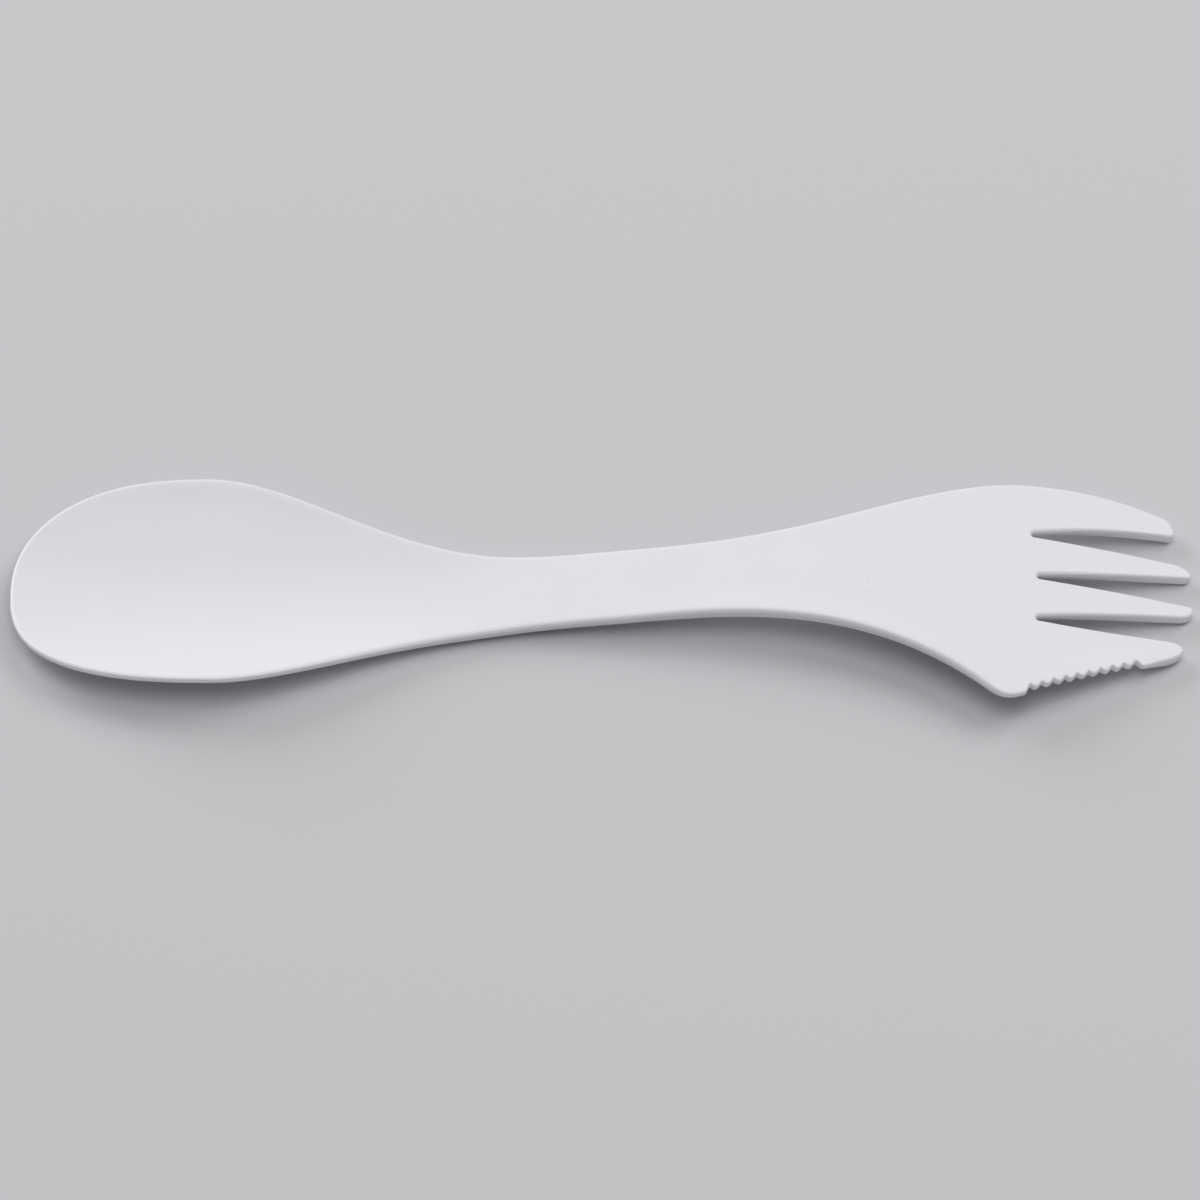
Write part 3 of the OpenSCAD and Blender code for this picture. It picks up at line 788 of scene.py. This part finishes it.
def middle_at(along, across):
    node = place_node("GeometryNodeGroup", node_tree=middle_tree)
    plug(press, along, node.inputs["Along"])
    plug(press, across, node.inputs["Across"])
    for title in SIZES:
        press.links.new(entry.outputs[spoken(title)], node.inputs[spoken(title)])
    return Term(press, node.outputs["Height"])


spot = place_node("ShaderNodeSeparateXYZ")
press.links.new(place_node("GeometryNodeInputPosition").outputs[0], spot.inputs[0])
x = Term(press, spot.outputs["X"])
y = Term(press, spot.outputs["Y"]) + remembered("pull") * tooth_cut(s, remembered("tooth"))

slope_along = (middle_at(x + PROBE, y) - middle_at(x - PROBE, y)) * (0.5 / PROBE)
slope_across = (middle_at(x, y + PROBE) - middle_at(x, y - PROBE)) * (0.5 / PROBE)
steep = work("POWER", slope_along * slope_along + slope_across * slope_across + 1.0, 0.5)

half = half_wall(s, x, y)
top = half + lip(s, x, y) - gate_dimple(s, x, y)
sits = mix(remembered("rise") - half, top - remembered("drop"), remembered("level")) / steep

pressed = place_node("ShaderNodeCombineXYZ")
plug(press, x - slope_along * sits, pressed.inputs["X"])
plug(press, y - slope_across * sits, pressed.inputs["Y"])
plug(press, middle_at(x, y) + sits, pressed.inputs["Z"])
set_place = place_node("GeometryNodeSetPosition")
smooth = place_node("GeometryNodeSetShadeSmooth")
realize = place_node("GeometryNodeRealizeInstances")
coat = place_node("GeometryNodeSetMaterial")
press.links.new(entry.outputs["Blank"], set_place.inputs["Geometry"])
press.links.new(pressed.outputs[0], set_place.inputs["Position"])
press.links.new(set_place.outputs[0], smooth.inputs["Geometry"])
press.links.new(smooth.outputs[0], realize.inputs[0])
press.links.new(realize.outputs[0], coat.inputs["Geometry"])
press.links.new(entry.outputs["Plastic"], coat.inputs["Material"])
press.links.new(coat.outputs[0], leave.inputs["Spork"])
print("the press takes", len(press.nodes), "nodes")

# %% [markdown]
# ## The satin finish
#
# The plastic is white with a very slight cool tint. Its mould was blasted to a fine
# satin, so highlights are broad and soft. Three patterns make it: a fine grain that
# breaks up the gloss, a slow unevenness where the melt has cooled at different
# rates, and a faint clouding of the colour. All of them read Object coordinates, so
# they stay put from every side. A little light goes through thin white plastic,
# which subsurface scattering gives.

# %% White satin plastic
METRE = 0.001                                       # a millimetre, in the scene's metres
GRAIN, FLOW, CLOUD = 0.22, 9.0, 16.0                # sizes of the three patterns


def node_in(material, kind, **settings):
    node = material.node_tree.nodes.new(kind)
    for name, value in settings.items():
        setattr(node, name, value)
    return node


def noise(material, coordinates, length, detail):
    """A noise pattern whose features are about that many millimetres long."""
    node = node_in(material, "ShaderNodeTexNoise")
    node.inputs["Scale"].default_value = 1.0 / (length * METRE)
    node.inputs["Detail"].default_value = detail
    material.node_tree.links.new(coordinates, node.inputs["Vector"])
    return node.outputs["Fac"]


def ramp(material, value, low, high):
    """Turns 0 to 1 into low to high, as a number or a colour."""
    colour = not isinstance(low, float)
    node = node_in(material, "ShaderNodeMix", data_type="RGBA" if colour else "FLOAT")
    ends = [s for s in node.inputs if s.enabled and s.name in "AB"]
    ends[0].default_value, ends[1].default_value = low, high
    share = next(s for s in node.inputs if s.enabled and s.name == "Factor")
    material.node_tree.links.new(value, share)
    return next(s for s in node.outputs if s.enabled)


plastic = bpy.data.materials.new("white_satin_plastic")
plastic.use_nodes = True
link = plastic.node_tree.links.new
shader = plastic.node_tree.nodes["Principled BSDF"]
places = node_in(plastic, "ShaderNodeTexCoord").outputs["Object"]
grain = noise(plastic, places, GRAIN, 2.0)
flow = noise(plastic, places, FLOW, 3.0)
cloud = noise(plastic, places, CLOUD, 2.0)
link(ramp(plastic, cloud, (0.790, 0.783, 0.832, 1.0), (0.810, 0.803, 0.852, 1.0)),
     shader.inputs["Base Color"])
link(ramp(plastic, flow, 0.33, 0.41), shader.inputs["Roughness"])
fine_bump = node_in(plastic, "ShaderNodeBump")
fine_bump.inputs["Strength"].default_value = 0.25
fine_bump.inputs["Distance"].default_value = 0.012 * METRE
link(grain, fine_bump.inputs["Height"])
slow_bump = node_in(plastic, "ShaderNodeBump")
slow_bump.inputs["Strength"].default_value = 0.5
slow_bump.inputs["Distance"].default_value = 0.05 * METRE
link(flow, slow_bump.inputs["Height"])
link(fine_bump.outputs["Normal"], slow_bump.inputs["Normal"])
link(slow_bump.outputs["Normal"], shader.inputs["Normal"])
shader.inputs["IOR"].default_value = 1.49
shader.inputs["Subsurface Weight"].default_value = 0.12
shader.inputs["Subsurface Radius"].default_value = (1.0, 0.9, 0.85)
shader.inputs["Subsurface Scale"].default_value = 1.2 * METRE
print("the finish takes", len(plastic.node_tree.nodes), "nodes")

# %% [markdown]
# ## Pressing the spork
#
# The tree goes onto the blank as a modifier, and its inputs are set by the sockets'
# identifiers, which stay the same when a socket is renamed. The evaluated result is
# made a plain mesh, brought to metres and set where the CAD model lies. Both have the
# same rules, so their boxes have to agree to a few hundredths of a millimetre.

# %% Running the press
modifier = blank.modifiers.new("press", "NODES")
modifier.node_group = press
chosen = {spoken(name): value for name, value in SIZES.items()}
chosen["Plastic"] = plastic
for socket in press.interface.items_tree:
    if socket.in_out == "INPUT" and socket.name in chosen:
        modifier[socket.identifier] = chosen[socket.name]
blank.data.materials.append(plastic)
bpy.context.view_layer.update()
evaluated = blank.evaluated_get(bpy.context.evaluated_depsgraph_get())
skin = bpy.data.meshes.new_from_object(evaluated)
skin.name = "spork_body"
blank.modifiers.clear()
bpy.data.objects.remove(blank)

corners = [v.co for v in skin.vertices]
skin_low = Vector(min(c[i] for c in corners) for i in range(3))
skin_high = Vector(max(c[i] for c in corners) for i in range(3))
middle = (skin_low + skin_high) / 2
base = Vector((middle.x, middle.y, skin_low.z))
cad_base = Vector(((low.x + high.x) / 2, (low.y + high.y) / 2, low.z))
skin.transform(Matrix.Translation(cad_base) @ Matrix.Scale(METRE, 4) @ Matrix.Translation(-base))
spork = bpy.data.objects.new("spork_body", skin)
bpy.context.scene.collection.objects.link(spork)
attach(spork, "root")
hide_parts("spork")
print("pressed to", [round(side, 2) for side in skin_high - skin_low], "mm,",
      sum(len(p.vertices) - 2 for p in skin.polygons), "triangles")

# %% [markdown]
# ## Floor and light
#
# The stage is plain: a pale floor, three soft white lamps and an even sky. Two of
# the lamps stand behind the spork, low on the left and high on the right, because
# the bowl's near side, which faces them, is the brightest place of the object. The
# walls of the slots, which face the camera, are the darkest, and only the lamp
# overhead and the sky reach them. Together they are kept at a level where a colour
# renders about as it is written.

# %% Floor
floor_mesh = bpy.data.meshes.new("floor")
reach, FLOOR_GAP = 3.0, 0.05                        # metres, millimetres
floor_corners = [(-reach, -reach, 0), (reach, -reach, 0), (reach, reach, 0), (-reach, reach, 0)]
floor_mesh.from_pydata(floor_corners, [], [(0, 1, 2, 3)])
floor = bpy.data.objects.new("floor", floor_mesh)
floor.location.z = -FLOOR_GAP * METRE
bpy.context.scene.collection.objects.link(floor)
floor_paint = bpy.data.materials.new("pale_floor")
floor_paint.use_nodes = True
floor_shader = floor_paint.node_tree.nodes["Principled BSDF"]
floor_shader.inputs["Base Color"].default_value = (0.60, 0.605, 0.62, 1.0)
floor_shader.inputs["Roughness"].default_value = 0.9
floor_shader.inputs["Specular IOR Level"].default_value = 0.1
floor.data.materials.append(floor_paint)

# %% Lamps and sky
LAMPS = {                                           # place, and power in watts
    "top_lamp": ((0.0, -0.3, 1.11), 4.0),
    "right_lamp": ((0.64, 0.37, 0.88), 4.3),
    "left_lamp": ((-0.74, 0.74, 0.49), 6.2),
}
LAMP_SIZE, SKY_LIGHT, SKY_SEEN = 0.8, 0.25, 0.9


def soft_lamp(name, place, watts):
    """A round white lamp that faces the spork."""
    lamp = bpy.data.lights.new(name, "AREA")
    lamp.shape, lamp.size, lamp.energy = "DISK", LAMP_SIZE, watts
    stand = bpy.data.objects.new(name, lamp)
    stand.location = place
    stand.rotation_euler = (-Vector(place)).to_track_quat("-Z", "Y").to_euler()
    bpy.context.scene.collection.objects.link(stand)


for name, (place, watts) in LAMPS.items():
    soft_lamp(name, place, watts)

sky = bpy.data.worlds.new("pale_sky")
bpy.context.scene.world = sky
sky.use_nodes = True
sky_light = sky.node_tree.nodes["Background"]
sky_light.inputs["Color"].default_value = (1.0, 1.0, 1.0, 1.0)
sky_light.inputs["Strength"].default_value = SKY_LIGHT
sky_seen = sky.node_tree.nodes.new("ShaderNodeBackground")
sky_seen.inputs["Color"].default_value = (0.80, 0.805, 0.82, 1.0)
sky_seen.inputs["Strength"].default_value = SKY_SEEN
ray = sky.node_tree.nodes.new("ShaderNodeLightPath")
sky_link = sky.node_tree.links.new
seen = ray.outputs["Is Camera Ray"]
for other in ("Is Glossy Ray", "Is Transmission Ray"):
    either = sky.node_tree.nodes.new("ShaderNodeMath")
    either.operation = "MAXIMUM"
    sky_link(seen, either.inputs[0])
    sky_link(ray.outputs[other], either.inputs[1])
    seen = either.outputs[0]
choice = sky.node_tree.nodes.new("ShaderNodeMixShader")
sky_link(seen, choice.inputs["Fac"])
sky_link(sky_light.outputs[0], choice.inputs[1])
sky_link(sky_seen.outputs[0], choice.inputs[2])
sky_link(choice.outputs[0], sky.node_tree.nodes["World Output"].inputs["Surface"])
bpy.context.scene.view_settings.view_transform = "Standard"

# %% [markdown]
# ## The camera
#
# The photograph looks down at about fifty degrees through a long lens, almost square
# on to the spork's side. The distance, angles and focal length come from fitting the
# outline, and the camera needs no shift.

# %% Camera
ELEVATION, AZIMUTH, DISTANCE = math.radians(49.5), math.radians(0.629), 1.25
TARGET = Vector((-0.000207, 0.002544, 0.0))
PIXELS_PER_MM, IMAGE_WIDTH, SENSOR = 6.926, 1200, 36.0
looking = Vector((math.sin(AZIMUTH) * math.cos(ELEVATION), math.cos(AZIMUTH) * math.cos(ELEVATION),
                  -math.sin(ELEVATION)))
camera = bpy.data.cameras.new("camera")
camera.sensor_width = SENSOR
camera.lens = SENSOR * PIXELS_PER_MM * DISTANCE / METRE / IMAGE_WIDTH
camera.clip_start, camera.clip_end = 0.05, 20.0
view = bpy.data.objects.new("camera", camera)
view.location = TARGET - looking * DISTANCE
right = Vector((math.cos(AZIMUTH), -math.sin(AZIMUTH), 0.0))
up = right.cross(looking)
view.matrix_world = Matrix((
    (right.x, up.x, -looking.x, view.location.x), (right.y, up.y, -looking.y, view.location.y),
    (right.z, up.z, -looking.z, view.location.z), (0, 0, 0, 1)))
bpy.context.scene.collection.objects.link(view)
bpy.context.scene.camera = view
print(f"the lens is {camera.lens:.1f} mm long")
